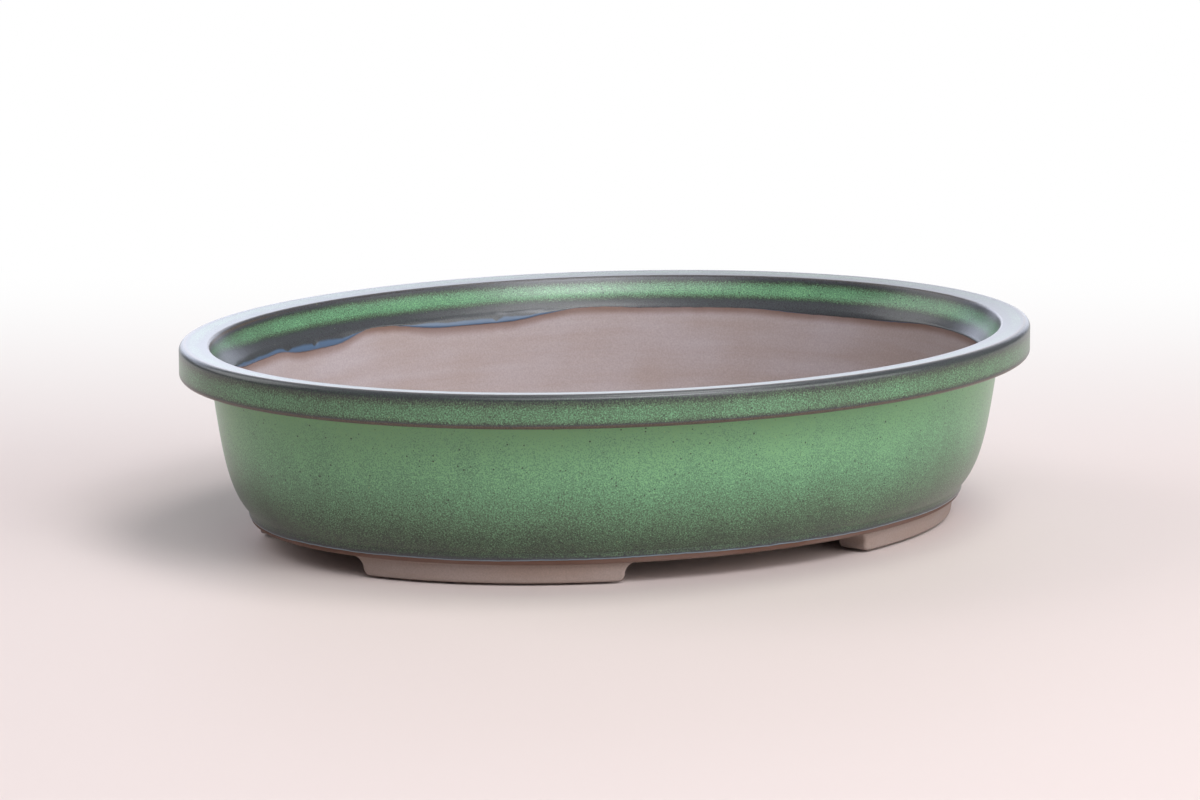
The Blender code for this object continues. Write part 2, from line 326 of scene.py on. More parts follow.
print("its roll is", round(roll_width_inside(np.radians(deepest[0])) / MM, 2), "mm wide")

# %% [markdown]
# ## From a section to a skin
# Every piece but the feet is its section carried round the pot: level ovals, one for
# each point. Rows follow the section and columns follow the oval. The points are
# worked out as one array, and the faces join each point to the next in its row and in
# its column. The section could be spun round and the round pot stretched to an oval, but
# that would widen the lip at both ends. Insets keep it the same all round. A closed
# solid's volume is positive when its faces point outwards, so the faces are turned round
# if it isn't.

# %% Grid helpers
OVAL_STEPS = 560
angles = np.arange(OVAL_STEPS) * 2 * math.pi / OVAL_STEPS


def carried(section):
    """The points of level ovals through a section, with one row for each point.

    Half the length less the inset, times the cosine of the angle, and half the width
    less the inset, times its sine.
    """
    inset = section[..., 0] if section.ndim == 3 else section[:, :1]
    height = section[..., 1] if section.ndim == 3 else section[:, 1:]
    along = (HALF_LENGTH - inset) * np.cos(angles)
    across = (HALF_WIDTH - inset) * np.sin(angles)
    return np.stack([along, across, np.broadcast_to(height, along.shape)], axis=-1)


def grid_faces(rows, columns, first=0, close_rows=False):
    """Four-sided faces of a grid whose columns run round and close."""
    index = first + np.arange(rows * columns).reshape(rows, columns)
    index = np.vstack([index, index[:1]]) if close_rows else index
    right = np.roll(index, -1, axis=1)
    corners = (index[:-1], right[:-1], right[1:], index[1:])
    return np.stack([corner.ravel() for corner in corners], axis=1)


def volume(points, faces):
    """Six times the volume inside four-sided faces: each corner times the next two, crossed."""
    a, b, c, d = (points[faces[:, k]] for k in range(4))
    return np.sum(a * np.cross(b, c)) + np.sum(a * np.cross(c, d))


# %% Object helper
CRISP = math.radians(50.0)


def make_piece(name, points, faces, measures):
    """A smooth mesh object with a float attribute for each measure of its points."""
    mesh = bpy.data.meshes.new(name)
    mesh.from_pydata(points, [], faces)
    for key, values in measures.items():
        attribute = mesh.attributes.new(key, "FLOAT", "POINT")
        attribute.data.foreach_set("value", np.asarray(values, np.float32).ravel())
    mesh.shade_smooth()
    mesh.set_sharp_from_angle(angle=CRISP)
    piece = bpy.data.objects.new(name, mesh)
    bpy.context.scene.collection.objects.link(piece)
    return piece


def swept_piece(name, section, coat, above_edge, roll):
    """A closed piece from a closed section, whose last point joins its first."""
    grid = carried(section)
    points = grid.reshape(-1, 3)
    faces = grid_faces(*grid.shape[:2], close_rows=True)
    if volume(points, faces) < 0:
        faces = faces[:, ::-1]
    shape = grid.shape[:2]
    measures = {
        "coat": np.broadcast_to(coat, shape),
        "above_edge": np.broadcast_to(above_edge, shape) / MM,
        "roll": np.broadcast_to(roll, shape) / MM,
    }
    piece = make_piece(name, points, faces, measures)
    print(name, len(faces) * 2, "triangles")
    return piece


def pushed_out(section, distance):
    """A section for each angle, its points moved square to it by a distance.

    The direction is the section's own, turned a quarter. On a run that falls outside
    it points out of the clay, and on a run that falls inside it points into it.
    """
    along = np.gradient(section, axis=0)
    along = along / np.linalg.norm(along, axis=1, keepdims=True)
    square = np.stack([along[:, 1], -along[:, 0]], axis=1)
    return section[:, None, :] + square[:, None, :] * distance[:, :, None]


# %% [markdown]
# ## Materials: helpers
# Colours are written as sRGB hex, the numbers that a colour picker shows, and one
# function makes them linear. One more adds a node with its settings and its links.
# Patterns are noise in the object's own place, and not pictures, so they have no seam
# and each has a real size.

# %% Material helpers
def hex_colour(code):
    """An sRGB hex colour as linear red, green, blue and alpha."""
    srgb = np.array([int(code[k:k + 2], 16) for k in (1, 3, 5)]) / 255.0
    linear = np.where(srgb <= 0.04045, srgb / 12.92, ((srgb + 0.055) / 1.055) ** 2.4)
    return (*linear.tolist(), 1.0)


def socket_of(sockets, key):
    """The socket at a place, or the one in use that has this name."""
    if isinstance(key, int):
        return sockets[key]
    return next(socket for socket in sockets if socket.enabled and socket.name == key)


def add(tree, kind, settings=None, inputs=None, stops=()):
    """Add one node. An input is a value, a socket, or a node whose first output is meant."""
    node = tree.nodes.new(kind)
    for key, value in (settings or {}).items():
        setattr(node, key, value)
    for key, value in (inputs or {}).items():
        if isinstance(value, bpy.types.Node):
            value = next(socket for socket in value.outputs if socket.enabled)
        if isinstance(value, bpy.types.NodeSocket):
            tree.links.new(value, socket_of(node.inputs, key))
        else:
            socket_of(node.inputs, key).default_value = value
    for place, colour in stops:
        elements = node.color_ramp.elements
        known = [element for element in elements if abs(element.position - place) < 1e-6]
        element = known[0] if known else elements.new(place)
        element.color = hex_colour(colour)
    return node


def empty_material(name):
    """A new material with only its output and its principled shader left, and its tree."""
    material = bpy.data.materials.new(name)
    material.use_nodes = True
    tree = material.node_tree
    return material, tree, tree.nodes["Principled BSDF"]


def per(size):
    """The scale at which a texture's grain has this size."""
    return 1.0 / size


# %% [markdown]
# ## Bare stoneware
# Fired clay without glaze is matt and grey brown. It has a fine grain of sand, faint
# bands where the sponge and the rib went round, and a rust-red flush next to the
# glaze, where iron has come up from the clay. The flush fades over a few millimetres.
# Inside and on the floor the clay is paler than on the collar and the feet, so the
# height of a point picks its tones. Real sand is finer than the grain here, which is
# drawn as coarse as it needs to be to show. The measures on the points and the bump are
# in millimetres.

# %% Clay layer
INNER_CLAY = ("#ACA0A1", "#A2928D")
FOOT_CLAY = ("#978983", "#8F7C72")
INNER_CLAY_FROM = 8.5 * MM
CLAY_ROUGHNESS = 0.85
CLAY_TOOTH = 0.03
GRAIN_SIZE = 0.5 * MM
CLOUD_SIZE = 24.0 * MM
BAND_HEIGHT = 4.0 * MM
BAND_STRETCH = (0.1, 0.1, 1.0)
WARMTH_RANGE = (0.7, 1.3)
SAND_LIGHTNESS = (0.88, 1.12)
RUST_SHARE = 0.5
RUST_PATCHES = 0.75


def clay_layer(tree, place, above_edge, roll, rust_and_shade_kind):
    """Colour and surface height in millimetres of bare clay.

    The kind of rust is its colour, its reach in millimetres and its strength. On the collar the colour is
    darker, and holds painted shade as well as rust.
    """
    rust_and_shade_colour, rust_reach, rust_strength = rust_and_shade_kind
    level = add(tree, "ShaderNodeSeparateXYZ", None, {"Vector": place}).outputs["Z"]
    inside = add(tree, "ShaderNodeMapRange", None,
                 {"Value": level, "From Min": INNER_CLAY_FROM, "From Max": FLOOR_LEVEL})
    tones = [
        add(tree, "ShaderNodeMix", {"data_type": "RGBA"},
            {"Factor": inside, "A": hex_colour(low), "B": hex_colour(high)}).outputs[2]
        for low, high in zip(FOOT_CLAY, INNER_CLAY)
    ]
    grain = add(tree, "ShaderNodeTexNoise", None,
                {"Vector": place, "Scale": per(GRAIN_SIZE), "Detail": 2.0})
    cloud = add(tree, "ShaderNodeTexNoise", None,
                {"Vector": place, "Scale": per(CLOUD_SIZE), "Detail": 2.0})
    flat = add(tree, "ShaderNodeMapping", None, {"Vector": place, "Scale": BAND_STRETCH})
    band = add(tree, "ShaderNodeTexNoise", None,
               {"Vector": flat, "Scale": per(BAND_HEIGHT), "Detail": 3.0})
    tone = add(tree, "ShaderNodeMath", {"operation": "ADD"}, {0: cloud, 1: band})
    warmth = add(tree, "ShaderNodeMapRange", None,
                 {"Value": tone, "From Min": WARMTH_RANGE[0], "From Max": WARMTH_RANGE[1]})
    body = add(tree, "ShaderNodeMix", {"data_type": "RGBA"},
               {"Factor": warmth, "A": tones[0], "B": tones[1]})
    sand = add(tree, "ShaderNodeMapRange", None,
               {"Value": grain, "From Min": 0.2, "From Max": 0.8,
                "To Min": SAND_LIGHTNESS[0], "To Max": SAND_LIGHTNESS[1]})
    grained = add(tree, "ShaderNodeVectorMath", {"operation": "SCALE"}, {0: body, "Scale": sand})
    reach = add(tree, "ShaderNodeMath", {"operation": "MULTIPLY_ADD"},
                {0: roll, 1: -RUST_SHARE, 2: -rust_reach})
    flush = add(tree, "ShaderNodeMapRange", {"interpolation_type": "SMOOTHERSTEP"},
                {"Value": above_edge, "From Min": reach, "From Max": 0.0})
    patchy = add(tree, "ShaderNodeMapRange", None,
                 {"Value": cloud, "From Min": 0.3, "From Max": 0.7,
                  "To Min": RUST_PATCHES * rust_strength, "To Max": rust_strength})
    rust = add(tree, "ShaderNodeMath", {"operation": "MULTIPLY"}, {0: flush, 1: patchy})
    colour = add(tree, "ShaderNodeMix", {"data_type": "RGBA"},
                 {"Factor": rust, "A": grained, "B": hex_colour(rust_and_shade_colour)})
    height = add(tree, "ShaderNodeMath", {"operation": "MULTIPLY"}, {0: grain, 1: CLAY_TOOTH})
    return colour, height


# %% [markdown]
# ## Green glaze
# A copper green over an iron-bearing clay, with a satin gloss. Where the coat is thin it
# is slate grey and the clay's brown comes through on the sharpest edges. Where it is
# thick it is leaf green, a little yellow where it has pooled. Colours could be painted
# on each edge, but here the coat's thickness picks them, so each edge breaks as on the
# real pot. In between, green flecks float on slate: a fine noise is added to the
# thickness before it picks a colour. The same noise makes the glaze lighter and darker,
# less so where the coat is full. Small dark specks of iron lie all over, with a finer
# pepper between them, and pale flecks here and there. Each kind of speck is its spacing,
# radius, share of the cells, strength and colour.

# %% Glaze colours and sizes
GLAZE_STOPS = (
    (0.00, "#4E4338"),
    (0.08, "#414146"),
    (0.25, "#353C39"),
    (0.45, "#435541"),
    (0.65, "#527255"),
    (0.85, "#5E8B67"),
    (1.00, "#6FA173"),
    (1.15, "#709D6C"),
)
THICKEST = GLAZE_STOPS[-1][0]
ROLL_INSIDE = "#4D637D"
ROLL_OUTSIDE = "#72838F"
ROLL_FADE = (1.2, 0.7)
IRON = "#2B362E"
STRAW = "#A3AB78"
SPECK_KINDS = (
    (0.9 * MM, 0.19 * MM, 0.5, 0.5, IRON),
    (1.3 * MM, 0.32 * MM, 0.55, 0.9, IRON),
    (2.2 * MM, 0.24 * MM, 0.45, 0.5, STRAW),
)
SPECK_SOFTNESS = 0.06
FLECK_SIZE = 0.36 * MM
FLECK_CONTRAST = 0.95
GRAIN_CONTRAST = 2.4
SMOOTH_CONTRAST = 0.3
SMOOTH_FROM = 0.45
DRIFT_SIZE = 14.0 * MM
DRIFT_STRETCH = (1.0, 1.0, 0.35)
DRIFT_CONTRAST = 0.35
DRIFT_FULL = 0.3
GLAZE_ROUGHNESS = 0.28
GLAZE_RIPPLE = 0.025
GLAZE_TOOTH = 0.016
RIPPLE_SIZE = 2.0 * MM


# %% Glaze layer
def specks(tree, place, spacing, radius, share, strength):
    """A mask of round specks: near the middle of a cell, in a share of the cells."""
    cells = add(tree, "ShaderNodeTexVoronoi", None, {"Vector": place, "Scale": per(spacing)})
    chance = add(tree, "ShaderNodeSeparateColor", None, {"Color": cells.outputs["Color"]})
    size = add(tree, "ShaderNodeMapRange", None,
               {"Value": chance.outputs["Red"], "From Min": 1.0 - share, "From Max": 1.0,
                "To Min": 0.0, "To Max": radius / spacing})
    inside = add(tree, "ShaderNodeMath", {"operation": "SUBTRACT"},
                 {0: size, 1: cells.outputs["Distance"]})
    return add(tree, "ShaderNodeMapRange", None,
               {"Value": inside, "From Min": 0.0, "From Max": SPECK_SOFTNESS, "To Max": strength})


def around_zero(tree, noise, contrast):
    """A noise shifted to swing about zero, times a contrast."""
    return add(tree, "ShaderNodeMath", {"operation": "MULTIPLY_ADD"},
               {0: noise, 1: contrast, 2: -0.5 * contrast})


def glaze_layer(tree, place, coat, above_edge, roll, roll_colour):
    """Colour and surface height in millimetres of the glaze."""
    fleck = add(tree, "ShaderNodeTexNoise", None,
                {"Vector": place, "Scale": per(FLECK_SIZE), "Detail": 2.0})
    fallen = add(tree, "ShaderNodeMapping", None, {"Vector": place, "Scale": DRIFT_STRETCH})
    drift = add(tree, "ShaderNodeTexNoise", None,
                {"Vector": fallen, "Scale": per(DRIFT_SIZE), "Detail": 3.0})
    flecked = add(tree, "ShaderNodeMath", {"operation": "ADD"},
                  {0: coat, 1: around_zero(tree, fleck, FLECK_CONTRAST)})
    broken = add(tree, "ShaderNodeMapRange", None,
                 {"Value": coat, "From Min": 0.0, "From Max": DRIFT_FULL})
    swing = add(tree, "ShaderNodeMath", {"operation": "MULTIPLY"},
                {0: around_zero(tree, drift, DRIFT_CONTRAST), 1: broken})
    drifted = add(tree, "ShaderNodeMath", {"operation": "ADD"}, {0: flecked, 1: swing})
    kept = add(tree, "ShaderNodeMix", {"data_type": "FLOAT"},
               {"Factor": broken, "A": coat, "B": drifted})
    place_in_ramp = add(tree, "ShaderNodeMath", {"operation": "DIVIDE"}, {0: kept, 1: THICKEST})
    stops = [(at_coat / THICKEST, colour) for at_coat, colour in GLAZE_STOPS]
    ramp = add(tree, "ShaderNodeValToRGB", None, {0: place_in_ramp}, stops=stops)
    contrast = add(tree, "ShaderNodeMapRange", None,
                   {"Value": coat, "From Min": SMOOTH_FROM, "From Max": 1.0,
                    "To Min": GRAIN_CONTRAST, "To Max": SMOOTH_CONTRAST})
    around = add(tree, "ShaderNodeMath", {"operation": "SUBTRACT"}, {0: fleck, 1: 0.5})
    lightness = add(tree, "ShaderNodeMath", {"operation": "MULTIPLY_ADD"},
                    {0: around, 1: contrast, 2: 1.0})
    colour = add(tree, "ShaderNodeVectorMath", {"operation": "SCALE"}, {0: ramp, "Scale": lightness})
    share = add(tree, "ShaderNodeMath", {"operation": "DIVIDE"}, {0: above_edge, 1: roll})
    milky = add(tree, "ShaderNodeMapRange", {"interpolation_type": "SMOOTHSTEP"},
                {"Value": share, "From Min": ROLL_FADE[0], "From Max": ROLL_FADE[1]})
    covers = [(specks(tree, place, *sizes), tint) for *sizes, tint in SPECK_KINDS]
    for mask, tint in covers + [(milky, roll_colour)]:
        colour = add(tree, "ShaderNodeMix", {"data_type": "RGBA"},
                     {"Factor": mask, "A": colour, "B": hex_colour(tint)})
    ripple = add(tree, "ShaderNodeTexNoise", None,
                 {"Vector": place, "Scale": per(RIPPLE_SIZE), "Detail": 1.0})
    coarse = add(tree, "ShaderNodeMath", {"operation": "MULTIPLY"}, {0: ripple, 1: GLAZE_RIPPLE})
    height = add(tree, "ShaderNodeMath", {"operation": "MULTIPLY_ADD"},
                 {0: fleck, 1: GLAZE_TOOTH, 2: coarse})
    return colour, height


# %% [markdown]
# ## One shader for glaze and clay
# The edge of the glaze crosses from one piece to the next, so the rim, the wall and
# the base share one kind of material that holds both layers. Two materials, one to each
# face, would give the edge a staircase. The measure of how far a point lies above the
# glaze's edge picks the layer, and sets how rough the surface is. The rust beside the
# glaze has a colour, a reach in millimetres and a strength. On the collar that colour is
# darker than the rust itself: it also holds painted shade under the waist.

# %% Materials
EDGE_SOFTNESS = 0.12
EDGE_WANDER = 0.45
WANDER_SIZE = 3.0 * MM
GLAZE_INDEX = 1.55
INNER_RUST = ("#6E4F40", 3.0, 0.85)
# The collar's rust is darker and stronger than the rust inside: real rust with painted shade under the
# waist.
BASE_RUST_AND_SHADE = ("#5E3F31", 3.5, 1.0)
FOOT_RUST = ("#6E4F40", 0.8, 0.8)


def carried_measures(tree, names):
    """The measures of these names that a piece carries at each of its points."""
    return [add(tree, "ShaderNodeAttribute", {"attribute_name": name}).outputs["Fac"] for name in names]


def finish_shader(tree, shader, colour, roughness, height):
    """Feed the shader, with the height in millimetres as bump."""
    bump = add(tree, "ShaderNodeBump", None, {"Height": height, "Distance": MM})
    tree.links.new(bump.outputs[0], shader.inputs["Normal"])
    tree.links.new(next(s for s in colour.outputs if s.enabled), shader.inputs["Base Color"])
    if roughness is not None:
        tree.links.new(roughness.outputs[0], shader.inputs["Roughness"])


def glazed_stoneware(name, roll_colour, rust_and_shade_kind):
    """Green glaze over bare stoneware, split at the glaze's edge."""
    material, tree, shader = empty_material(name)
    place = add(tree, "ShaderNodeTexCoord").outputs["Object"]
    coat, edge, roll = carried_measures(tree, ("coat", "above_edge", "roll"))
    wander = add(tree, "ShaderNodeTexNoise", None,
                 {"Vector": place, "Scale": per(WANDER_SIZE), "Detail": 2.0})
    above_edge = add(tree, "ShaderNodeMath", {"operation": "ADD"},
                     {0: edge, 1: around_zero(tree, wander, EDGE_WANDER)})
    clay, tooth = clay_layer(tree, place, above_edge, roll, rust_and_shade_kind)
    glaze, ripple = glaze_layer(tree, place, coat, above_edge, roll, roll_colour)
    covered = add(tree, "ShaderNodeMapRange", None,
                  {"Value": above_edge, "From Min": 0.0, "From Max": EDGE_SOFTNESS})
    colour = add(tree, "ShaderNodeMix", {"data_type": "RGBA"}, {"Factor": covered, "A": clay, "B": glaze})
    height = add(tree, "ShaderNodeMix", {"data_type": "FLOAT"},
                 {"Factor": covered, "A": tooth, "B": ripple})
    roughness = add(tree, "ShaderNodeMapRange", None,
                    {"Value": covered, "To Min": CLAY_ROUGHNESS, "To Max": GLAZE_ROUGHNESS})
    shader.inputs["IOR"].default_value = GLAZE_INDEX
    finish_shader(tree, shader, colour, roughness, height)
    return material


def bare_stoneware():
    """Fired clay with no glaze on it."""
    material, tree, shader = empty_material("bare_stoneware")
    place = add(tree, "ShaderNodeTexCoord").outputs["Object"]
    edge, roll = carried_measures(tree, ("above_edge", "roll"))
    clay, tooth = clay_layer(tree, place, edge, roll, FOOT_RUST)
    shader.inputs["Roughness"].default_value = CLAY_ROUGHNESS
    finish_shader(tree, shader, clay, None, tooth)
    return material


glaze_material = glazed_stoneware("green_glaze_on_stoneware", ROLL_INSIDE, INNER_RUST)
base_material = glazed_stoneware("green_glaze_on_stoneware_with_shaded_rust", ROLL_OUTSIDE, BASE_RUST_AND_SHADE)
clay_material = bare_stoneware()
for material in (glaze_material, base_material, clay_material):
    print(material.name, "has", len(material.node_tree.nodes), "nodes")

# %% [markdown]
# ## The rim
# The rim is a band that the potter lays on the wall: a nearly upright outer face with
# a soft lower edge, a rounded shoulder, a top that falls inwards, and a hollow slope
# down to the throat. It could be one mesh with the wall, but it is laid on as a member
# of its own, and so it stays one here. The glaze breaks to slate on the shoulder and the
# lip, and to brown along the lower edge. The stops give the coat at distances in
# millimetres along the section, from the foot of the outer face up and over to the lip.
# At the left end the slate inside reaches higher, and the green above it is thinner and so darker; that
# darkening is partly thinner glaze and partly painted shade.
# Outside, the coat is thinner towards the right end. Each of these is a bell over the
# angle: its middle, its half width and its height.

# %% Coat on the rim
RIM_COAT = (
    (0.0, 0.30),
    (0.3, 0.00),
    (1.7, 0.00),
    (2.1, 0.35),
    (2.6, 0.56),
    (3.4, 0.67),
    (5.6, 0.66),
    (6.6, 0.57),
    (7.4, 0.42),
    (8.2, 0.29),
    (9.2, 0.19),
    (10.4, 0.12),
    (10.8, 0.00),
    (11.3, 0.00),
    (11.6, 0.15),
    (12.4, 0.42),
    (14.0, 0.42),
    (15.2, 0.28),
    (16.8, 0.15),
    (17.3, 0.05),
    (18.4, 0.08),
    (19.3, 0.32),
    (20.3, 0.70),
    (21.3, 0.82),
)
INNER_DARK_TOP = 50.7 * MM
INNER_DARK_FULL = 48.1 * MM
INNER_DARK_COAT = 0.13
INNER_FULL_COAT = 0.88
LEFT_DARK_LIFT = (163.0, 17.0, 2.9 * MM)
# Less coat at the left end inside: thinner glaze, and also painted shade that the lamps don't give there.
LEFT_THINNER_AND_SHADED = (148.0, 22.0, 0.22)
RIGHT_THINNER = (-15.0, 48.0, 0.22)
GLAZED_FAR = 30.0 * MM


def bell(middle, half_width, most):
    """A value for each angle: the most at its middle, and one over e of it a half width away."""
    away = (np.degrees(angles) - middle + 180.0) % 360.0 - 180.0
    return most * np.exp(-(away / half_width) ** 2)


def inner_coat(height, full):
    """The coat inside: full above, slate in the last few millimetres before the edge.

    Between them the share is a smooth step: its square times three less twice itself.
    """
    start = INNER_DARK_FULL + bell(*LEFT_DARK_LIFT)
    share = np.clip((height - start) / (INNER_DARK_TOP - INNER_DARK_FULL), 0.0, 1.0)
    # At the left end the full coat is less, which darkens it: thinner glaze and painted shade together.
    thickness = full - bell(*LEFT_THINNER_AND_SHADED)
    return INNER_DARK_COAT + (thickness - INNER_DARK_COAT) * share * share * (3 - 2 * share)


def inner_glaze(section):
    """Distance above the glaze's edge and width of its roll inside, for each angle.

    The distance is the one along the section to the edge's level, less the one so far.
    """
    along = distances(section)
    edge = INNER_EDGE - sag(angles)
    reached = np.interp(-edge, -section[:, 1], along)
    above_edge = reached[None, :] - along[:, None]
    return above_edge, roll_width_inside(angles)[None, :]


# %% Runs of the rim
ROW_SPACING = 0.28 * MM
EDGE_SPACING = 0.15 * MM
BARE_SPACING = 0.8 * MM
JOINT_SPACING = 1.0 * MM
EDGE_TOP = RIM_UNDERSIDE + 3.0 * MM
EDGE_FOOT = RIM_UNDERSIDE - 6.0 * MM

inner_run = np.vstack([
    spaced(between(inside, inside[0, 1], EDGE_TOP), ROW_SPACING),
    spaced(between(inside, EDGE_TOP, EDGE_FOOT), EDGE_SPACING)[1:],
    spaced(between(inside, EDGE_FOOT, FLOOR_LEVEL), BARE_SPACING)[1:],
])
above_edge, roll_width = inner_glaze(inner_run)
inner_relief = pushed_out(inner_run, -relief(above_edge, roll_width))
split = int(np.argmin(np.abs(inner_run[:, 1] - RIM_UNDERSIDE)))

lower_edge = rounded(throat, at(0.0, RIM_UNDERSIDE), shoulder, RIM_LOWER_ROUND)
shoulder_edge = rounded(at(0.0, RIM_UNDERSIDE), shoulder, crest, RIM_SHOULDER_ROUND)
band = spaced(np.vstack([lower_edge, shoulder_edge, lip_edge]), ROW_SPACING)
joint = spaced(np.vstack([inner_run[split], at(lower_edge[0, 0], RIM_UNDERSIDE)]), JOINT_SPACING)[1:-1]
print("rim rows: band", len(band), "inner slope", split, "joint", len(joint))

# %% Rim piece
HIDDEN_COAT = 0.55

band_along = np.arange(len(band)) * np.linalg.norm(band[1] - band[0]) / MM
band_coat = np.interp(band_along, *np.array(RIM_COAT).T)[:, None] * (1.0 - bell(*RIGHT_THINNER))
lip_along = band_along[-1] + np.arange(split + 1) * ROW_SPACING / MM
lip_coat = np.interp(lip_along, *np.array(RIM_COAT).T)
lip_coat = inner_coat(inner_relief[:split + 1, :, 1], lip_coat[:, None])

rim_section = np.concatenate([
    np.repeat(band[:, None, :], OVAL_STEPS, axis=1),
    inner_relief[1:split + 1],
    np.repeat(joint[:, None, :], OVAL_STEPS, axis=1),
])
rows = (len(band), split, len(joint))
rim_edge = [np.full((count, OVAL_STEPS), GLAZED_FAR) for count in rows]
rim_edge[1] = above_edge[1:split + 1]
rim_coat = np.concatenate([
    band_coat, lip_coat[1:], np.full((len(joint), OVAL_STEPS), HIDDEN_COAT),
])
rim = swept_piece("glazed_rim", rim_section, rim_coat, np.concatenate(rim_edge), roll_width)
rim.data.materials.append(glaze_material)
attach(rim, "root")
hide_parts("rim")

# %% [markdown]
# ## The wall
# The wall stands between the rim and the base. Outside, the coat is thickest just
# under the rim, where it has pooled a little yellow, and thins to slate over the
# belly. Inside, all but the top is bare clay. A thin shell would look the same, but a
# real wall has a thickness, so two hidden joints close its section above and below. The
# stops give the coat at heights in millimetres.

# %% Wall piece
WALL_COAT = (
    (7.0, 0.08),
    (7.5, 0.12),
    (8.1, 0.34),
    (9.2, 0.41),
    (12.0, 0.45),
    (16.0, 0.53),
    (20.0, 0.64),
    (25.0, 0.76),
    (30.0, 0.86),
    (38.0, 0.95),
    (42.0, 1.00),
    (45.0, 1.10),
)
OUTER_SPACING = 0.6 * MM
JOINT_GAP = 0.3 * MM
SEAM = WALL_FOOT - JOINT_GAP / 2

outer_run = spaced(between(outside, RIM_UNDERSIDE, SEAM), OUTER_SPACING)
lower_joint = spaced(np.vstack([outer_run[-1], at(toe[0], SEAM), toe]), JOINT_SPACING)[1:-1]
upper_joint = spaced(np.vstack([inner_run[split], outer_run[0]]), JOINT_SPACING)[1:-1]
inner_part = inner_relief[split:][::-1]
wall_section = np.concatenate([
    np.repeat(outer_run[:, None, :], OVAL_STEPS, axis=1),
    np.repeat(lower_joint[:, None, :], OVAL_STEPS, axis=1),
    inner_part,
    np.repeat(upper_joint[:, None, :], OVAL_STEPS, axis=1),
])
rows = (len(outer_run), len(lower_joint), len(inner_part), len(upper_joint))
first_inner = len(outer_run) + len(lower_joint)
inner_rows = slice(first_inner, first_inner + len(inner_part))
wall_coat = np.interp(wall_section[..., 1] / MM, *np.array(WALL_COAT).T)
wall_coat[inner_rows] = inner_coat(wall_section[inner_rows, :, 1], INNER_FULL_COAT)
wall_edge = [np.full((count, OVAL_STEPS), GLAZED_FAR) for count in rows]
wall_edge[1] = -wall_edge[1]
wall_edge[2] = above_edge[split:][::-1]
wall = swept_piece("glazed_wall", wall_section, wall_coat, np.concatenate(wall_edge), roll_width)
wall.data.materials.append(glaze_material)
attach(wall, "root")
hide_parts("wall")

# %% [markdown]
# ## The base
# The base is a slab whose edge is the collar under the waist. The glaze ends on the
# collar in a thin blue-grey roll, and a strip of rust-brown clay shows under it; that
# strip is painted darker than the rust inside, so it holds painted shade under the waist
# as well as rust. Two drain holes and four small holes for tie wires go through it. A
# Boolean could cut them, but it leaves slivers that shade badly. So each hole is a short
# tube whose two edges are broken, and the flat faces are filled between the outline and
# the tubes.

# %% Collar and holes
OUTER_EDGE = 7.0 * MM
OUTER_WAVE = 0.16 * MM
OUTER_WAVES = ((1.0, 3, 0.4), (0.6, 7, 2.0), (0.4, 17, 1.0))
OUTER_ROLL = 0.40 * MM
DRAIN_HOLE_RADIUS = 11.0 * MM
DRAIN_HOLE_X = 42.0 * MM
WIRE_HOLE_RADIUS = 2.5 * MM
WIRE_HOLE_X = 68.0 * MM
WIRE_HOLE_Y = 22.0 * MM
HOLE_STEPS = 96
HOLE_EDGE_POINTS = 7
HOLE_EDGE_BREAK = 0.8 * MM

holes = [(side * DRAIN_HOLE_X, 0.0, DRAIN_HOLE_RADIUS) for side in (-1, 1)]
holes += [
    (side * WIRE_HOLE_X, end * WIRE_HOLE_Y, WIRE_HOLE_RADIUS) for side in (-1, 1) for end in (-1, 1)
]


def outer_edge(angle):
    """The level of the glaze's edge outside: a usual level and a few slow waves."""
    return OUTER_EDGE + OUTER_WAVE * waves(angle, OUTER_WAVES)


def hole_tube(x, y, radius):
    """A hole's skin, from the underside up: a quarter round, a straight wall, a quarter round."""
    edge = HOLE_EDGE_BREAK
    quarter = np.linspace(0.0, math.pi / 2, HOLE_EDGE_POINTS)
    reach = radius + edge * (1 - np.sin(quarter))
    lower = np.stack([reach, SLAB_UNDERSIDE + edge * (1 - np.cos(quarter))], axis=1)
    upper = np.stack([reach[::-1], FLOOR_LEVEL - edge * (1 - np.cos(quarter[::-1]))], axis=1)
    profile = np.vstack([lower, upper])
    turn = np.arange(HOLE_STEPS) * 2 * math.pi / HOLE_STEPS
    rings = profile[:, :1] * np.cos(turn) + x, profile[:, :1] * np.sin(turn) + y
    return np.stack([*rings, np.broadcast_to(profile[:, 1:], rings[0].shape)], axis=-1)


# %% Base piece
COLLAR_SPACING = 0.12 * MM
HAIR = 0.001 * MM

# The outside's last point lies level with the underside, so the run stops a hair above it.
collar_run = spaced(between(outside[:-1], SEAM, SLAB_UNDERSIDE + HAIR), COLLAR_SPACING)
collar_run = np.vstack([collar_run, outside[-1]])
collar_height = collar_run[:, 1:] - outer_edge(angles)[None, :]
collar_relief = pushed_out(collar_run, relief(collar_height, OUTER_ROLL))
seat = spaced(np.vstack([toe, at(toe[0], SEAM), collar_run[0]]), JOINT_SPACING)[:-1]
base_section = np.concatenate([np.repeat(seat[:, None, :], OVAL_STEPS, axis=1), collar_relief])
base_grid = carried(base_section)
base_points = [base_grid.reshape(-1, 3)]
base_faces = [grid_faces(*base_grid.shape[:2])]
for x, y, radius in holes:
    tube = hole_tube(x, y, radius)
    base_faces.append(grid_faces(*tube.shape[:2], first=sum(map(len, base_points))))
    base_points.append(tube.reshape(-1, 3))
base_points = np.concatenate(base_points)
base_faces = np.concatenate(base_faces)
base_edge = np.full(len(base_points), -GLAZED_FAR / MM)
first = len(seat) * OVAL_STEPS
base_edge[first:first + collar_height.size] = collar_height.ravel() / MM
